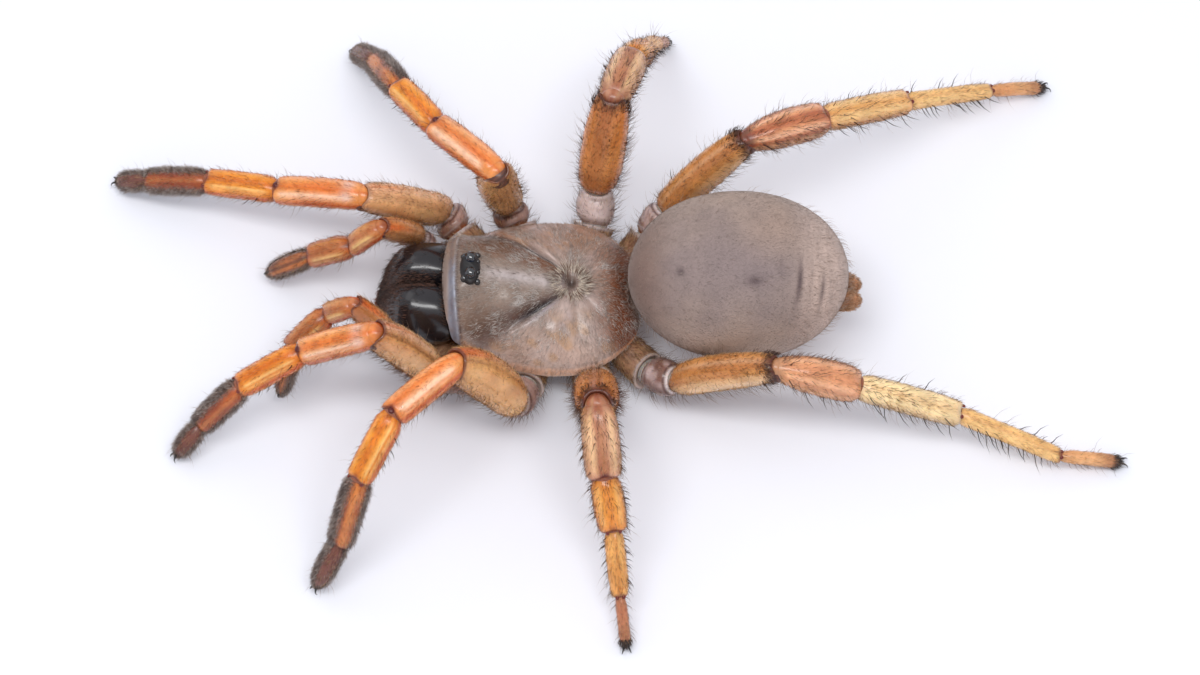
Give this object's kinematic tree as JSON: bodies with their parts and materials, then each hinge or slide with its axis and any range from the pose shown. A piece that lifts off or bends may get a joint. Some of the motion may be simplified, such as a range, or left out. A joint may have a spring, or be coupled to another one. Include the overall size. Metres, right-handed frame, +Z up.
{
  "type": "trapdoor spider",
  "caption": "Life-size still model of a trapdoor spider in a walking stance, with jaws, feelers, jointed orange legs and a grey rear body.",
  "frame": {"origin": "centre of the model's box, on the floor that the feet stand on", "axes": "+X towards the tail, so the head looks along -X; +Y towards the animal's own right side; +Z up"},
  "size_m": [0.0622, 0.0416, 0.0117],
  "materials": {
    "carapace": null,
    "abdomen": "soft taupe-grey skin under a dense fine silver fuzz, with faint dark cross marks",
    "chelicera": "glossy black-brown jaws with dark bristles at the front; hard cuticle",
    "fang": "polished black-red fangs; hard cuticle",
    "eye": "black eyes with a wet shine",
    "sternum": "satin orange-brown underside plate with brown hairs",
    "coxa": "brown hairy hip pieces with pale soft skin at the joints",
    "femur": "semi-gloss tan and orange-brown thighs with dark hair fringes",
    "leg": "glossy translucent orange knees and shins, red-brown at the joints",
    "brush": "dense dark grey-brown pile of the foot brushes over an orange-brown shell",
    "foot": "semi-gloss yellow-orange feet with dark spines and dark tips",
    "spinneret": "orange-brown hairy spinnerets",
    "pedicel": "soft pale brown waist"
  },
  "bodies": {
    "root": {"carapace": "carapace", "eyes": "eye", "chelicera_right": "chelicera", "fang_right": "fang", "chelicera_left": "chelicera", "fang_left": "fang", "sternum": "sternum", "abdomen": "abdomen", "pedicel": "pedicel", "spinnerets": "spinneret", "leg_r1_coxa": "coxa", "leg_r1_femur": "femur", "leg_r1_patella": "leg", "leg_r1_tibia": "leg", "leg_r1_foot": "brush", "leg_l1_coxa": "coxa", "leg_l1_femur": "femur", "leg_l1_patella": "leg", "leg_l1_tibia": "leg", "leg_l1_foot": "brush", "leg_r2_coxa": "coxa", "leg_r2_femur": "femur", "leg_r2_patella": "leg", "leg_r2_tibia": "leg", "leg_r2_foot": "brush", "leg_l2_coxa": "coxa", "leg_l2_femur": "femur", "leg_l2_patella": "leg", "leg_l2_tibia": "leg", "leg_l2_foot": "brush", "leg_r3_coxa": "coxa", "leg_r3_femur": "femur", "leg_r3_patella": "leg", "leg_r3_tibia": "leg", "leg_r3_foot": "foot", "leg_l3_coxa": "coxa", "leg_l3_femur": "femur", "leg_l3_patella": "leg", "leg_l3_tibia": "leg", "leg_l3_foot": "foot", "leg_r4_coxa": "coxa", "leg_r4_femur": "femur", "leg_r4_patella": "leg", "leg_r4_tibia": "leg", "leg_r4_foot": "foot", "leg_l4_coxa": "coxa", "leg_l4_femur": "femur", "leg_l4_patella": "leg", "leg_l4_tibia": "leg", "leg_l4_foot": "foot", "palp_right_coxa": "coxa", "palp_right_femur": "femur", "palp_right_shank": "leg", "palp_right_tarsus": "brush", "palp_left_coxa": "coxa", "palp_left_femur": "femur", "palp_left_shank": "leg", "palp_left_tarsus": "brush"}
  },
  "joints": []
}
